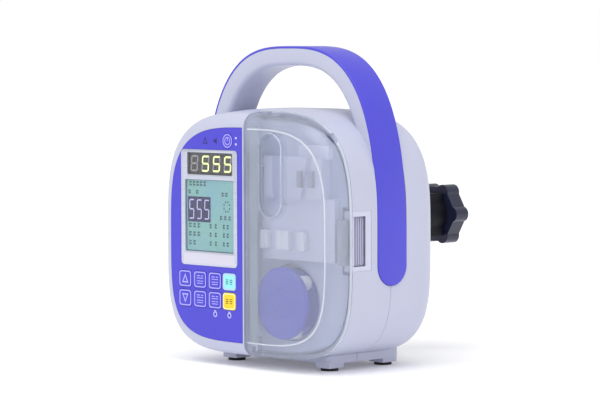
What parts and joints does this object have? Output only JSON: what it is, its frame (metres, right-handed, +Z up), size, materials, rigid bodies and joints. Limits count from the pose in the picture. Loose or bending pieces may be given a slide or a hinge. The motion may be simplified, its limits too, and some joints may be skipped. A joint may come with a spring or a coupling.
{
  "type": "infusion pump",
  "caption": "Compact volumetric infusion pump with a display panel, translucent pump-chamber door, arched carrying handle and rear pole clamp",
  "frame": {"origin": "centre of the bounding box's base, on the surface the feet stand on", "axes": "+Z up, the display panel and the door face -Y, the pole clamp points to +Y, the door latch is on +X"},
  "size_m": [0.1544, 0.1792, 0.195],
  "materials": {
    "front_case": "satin white moulding",
    "rear_case": "satin white moulding",
    "case_gasket": "soft black seal",
    "base_tray": "fine matt white moulding",
    "rubber_feet": "matt black rubber",
    "handle_core": "satin white moulding",
    "handle_cover": "fine textured blue-violet",
    "panel_overlay": "printed blue-violet film",
    "display_bezel": "satin silver",
    "display_window": "clear window",
    "led_module": "black display block",
    "lcd_module": "teal display",
    "display_board": "green circuit board",
    "keypad_mat": "grey silicone mat",
    "main_board": "green circuit board",
    "power_board": "green circuit board",
    "battery_pack": "blue shrink sleeve",
    "speaker": "dark cone and frame",
    "power_inlet": "black inlet",
    "drive_motor": "brushed can",
    "gear_frame": "machined plate",
    "pump_deck": "matt pale moulding",
    "deck_cover": "matt pale moulding",
    "rotor_bearings": "ground steel",
    "tube_guides": "white acetal",
    "tube_sensor": "grey sensor head",
    "hinge_pins": "ground steel",
    "latch_frame": "grey moulding",
    "latch_spring": "spring wire",
    "case_screws": "zinc plated",
    "clamp_bracket": "black glass-filled nylon",
    "clamp_arm": "black glass-filled nylon",
    "clamp_insert": "machined brass insert",
    "clamp_screws": "zinc plated",
    "door_shell": "frosted translucent",
    "door_capsule": "clear window",
    "door_catch": "grey moulding",
    "latch_slide": "pale grey moulding",
    "rotor_cap": "blue moulding",
    "rotor_hub": "blue moulding",
    "rotor_shaft": "ground steel",
    "roller_pins": "ground steel",
    "driven_gear": "natural acetal",
    "roller_1": "white acetal",
    "roller_2": "white acetal",
    "roller_3": "white acetal",
    "motor_pinion": "machined brass",
    "key_up": "printed key",
    "key_down": "printed key",
    "key_left": "printed key",
    "key_right": "printed key",
    "key_menu": "printed key",
    "key_info": "printed key",
    "key_start": "cyan key",
    "key_stop": "yellow key",
    "power_key": "printed key",
    "clamp_pad": "black rubber pad",
    "clamp_knob": "near-black moulding",
    "clamp_spindle": "steel spindle"
  },
  "bodies": {
    "pump": {"front_case": "front_case", "rear_case": "rear_case", "case_gasket": "case_gasket", "base_tray": "base_tray", "rubber_feet": "rubber_feet", "handle_core": "handle_core", "handle_cover": "handle_cover", "panel_overlay": "panel_overlay", "display_bezel": "display_bezel", "display_window": "display_window", "led_module": "led_module", "lcd_module": "lcd_module", "display_board": "display_board", "keypad_mat": "keypad_mat", "main_board": "main_board", "power_board": "power_board", "battery_pack": "battery_pack", "speaker": "speaker", "power_inlet": "power_inlet", "drive_motor": "drive_motor", "gear_frame": "gear_frame", "pump_deck": "pump_deck", "deck_cover": "deck_cover", "rotor_bearings": "rotor_bearings", "tube_guides": "tube_guides", "tube_sensor": "tube_sensor", "hinge_pins": "hinge_pins", "latch_frame": "latch_frame", "latch_spring": "latch_spring", "case_screws": "case_screws", "clamp_bracket": "clamp_bracket", "clamp_arm": "clamp_arm", "clamp_insert": "clamp_insert", "clamp_screws": "clamp_screws"},
    "door": {"door_shell": "door_shell", "door_capsule": "door_capsule", "door_catch": "door_catch"},
    "latch": {"latch_slide": "latch_slide"},
    "rotor": {"rotor_cap": "rotor_cap", "rotor_hub": "rotor_hub", "rotor_shaft": "rotor_shaft", "roller_pins": "roller_pins", "driven_gear": "driven_gear"},
    "roller_1": {"roller_1": "roller_1"},
    "roller_2": {"roller_2": "roller_2"},
    "roller_3": {"roller_3": "roller_3"},
    "pinion": {"motor_pinion": "motor_pinion"},
    "pad": {"clamp_pad": "clamp_pad"},
    "screw": {"clamp_knob": "clamp_knob", "clamp_spindle": "clamp_spindle"},
    "key_up": {"key_up": "key_up"},
    "key_down": {"key_down": "key_down"},
    "key_left": {"key_left": "key_left"},
    "key_right": {"key_right": "key_right"},
    "key_menu": {"key_menu": "key_menu"},
    "key_info": {"key_info": "key_info"},
    "key_start": {"key_start": "key_start"},
    "key_stop": {"key_stop": "key_stop"},
    "power_key": {"power_key": "power_key"}
  },
  "joints": [
    {"name": "door_hinge", "type": "hinge", "parent": "pump", "child": "door", "pos_m": [0.0042, -0.082, 0.08], "axis": [0, 0, -1], "range_deg": [0, 100]},
    {"name": "latch_slide", "type": "slide", "parent": "pump", "child": "latch", "axis": [0, 1, 0], "range_m": [0, 0.003], "stiffness_N_per_m": 400, "springref_m": -0.001, "deforming": ["latch_spring"]},
    {"name": "rotor_spin", "type": "hinge", "parent": "pump", "child": "rotor", "pos_m": [0.025, -0.067, 0.041], "axis": [0, 1, 0], "continuous": true},
    {"name": "pinion_spin", "type": "hinge", "parent": "pump", "child": "pinion", "pos_m": [0.025, -0.053, 0.071], "axis": [0, 1, 0], "continuous": true},
    {"name": "roller_1_spin", "type": "hinge", "parent": "rotor", "child": "roller_1", "pos_m": [0.03744, -0.076, 0.05344], "axis": [0, 1, 0], "continuous": true},
    {"name": "roller_2_spin", "type": "hinge", "parent": "rotor", "child": "roller_2", "pos_m": [0.008, -0.076, 0.04555], "axis": [0, 1, 0], "continuous": true},
    {"name": "roller_3_spin", "type": "hinge", "parent": "rotor", "child": "roller_3", "pos_m": [0.02956, -0.076, 0.024], "axis": [0, 1, 0], "continuous": true},
    {"name": "key_up_press", "type": "slide", "parent": "pump", "child": "key_up", "axis": [0, 1, 0], "range_m": [0, 0.0005], "stiffness_N_per_m": 900, "springref_m": -0.0003},
    {"name": "key_down_press", "type": "slide", "parent": "pump", "child": "key_down", "axis": [0, 1, 0], "range_m": [0, 0.0005], "stiffness_N_per_m": 900, "springref_m": -0.0003},
    {"name": "key_left_press", "type": "slide", "parent": "pump", "child": "key_left", "axis": [0, 1, 0], "range_m": [0, 0.0005], "stiffness_N_per_m": 900, "springref_m": -0.0003},
    {"name": "key_right_press", "type": "slide", "parent": "pump", "child": "key_right", "axis": [0, 1, 0], "range_m": [0, 0.0005], "stiffness_N_per_m": 900, "springref_m": -0.0003},
    {"name": "key_menu_press", "type": "slide", "parent": "pump", "child": "key_menu", "axis": [0, 1, 0], "range_m": [0, 0.0005], "stiffness_N_per_m": 900, "springref_m": -0.0003},
    {"name": "key_info_press", "type": "slide", "parent": "pump", "child": "key_info", "axis": [0, 1, 0], "range_m": [0, 0.0005], "stiffness_N_per_m": 900, "springref_m": -0.0003},
    {"name": "key_start_press", "type": "slide", "parent": "pump", "child": "key_start", "axis": [0, 1, 0], "range_m": [0, 0.0005], "stiffness_N_per_m": 900, "springref_m": -0.0003},
    {"name": "key_stop_press", "type": "slide", "parent": "pump", "child": "key_stop", "axis": [0, 1, 0], "range_m": [0, 0.0005], "stiffness_N_per_m": 900, "springref_m": -0.0003},
    {"name": "power_key_press", "type": "slide", "parent": "pump", "child": "power_key", "axis": [0, 1, 0], "range_m": [0, 0.0005], "stiffness_N_per_m": 900, "springref_m": -0.0003},
    {"name": "pad_slide", "type": "slide", "parent": "pump", "child": "pad", "axis": [0, 1, 0], "range_m": [0, 0.014]},
    {"name": "screw_turn", "type": "hinge", "parent": "pad", "child": "screw", "pos_m": [0, 0.063, 0.087], "axis": [0, 1, 0], "range_deg": [0, 2520]}
  ],
  "couplings": [
    {"joint": "pinion_spin", "follows": "rotor_spin", "ratio": -4},
    {"joint": "pad_slide", "follows": "screw_turn", "m_per_rad": 0.00031831}
  ]
}
